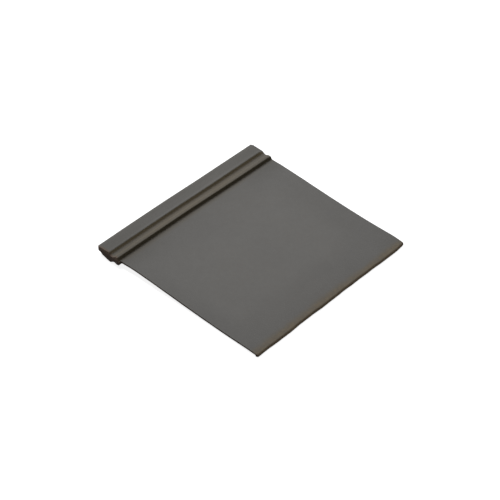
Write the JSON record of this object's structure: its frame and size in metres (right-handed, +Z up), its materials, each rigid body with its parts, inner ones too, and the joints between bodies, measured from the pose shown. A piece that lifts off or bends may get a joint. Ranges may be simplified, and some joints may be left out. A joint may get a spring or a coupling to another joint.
{
  "type": "roof tile",
  "caption": "Flat interlocking roof tile, moulded in one piece, with a ridged interlock along its head and a rolled lip along its foot.",
  "frame": {"origin": "middle of the tile's outline seen from above, on the floor it lies on", "axes": "+Z up; +X across the tile from the interlock at its head to the rolled lip at its foot; +Y along the interlock, away from the end that stands out past the side edge"},
  "size_m": [0.3308, 0.3328, 0.0183],
  "materials": {
    "body": "dark grey matt surface over a brown moulded body"
  },
  "bodies": {
    "root": {"tile": "body"}
  },
  "joints": []
}
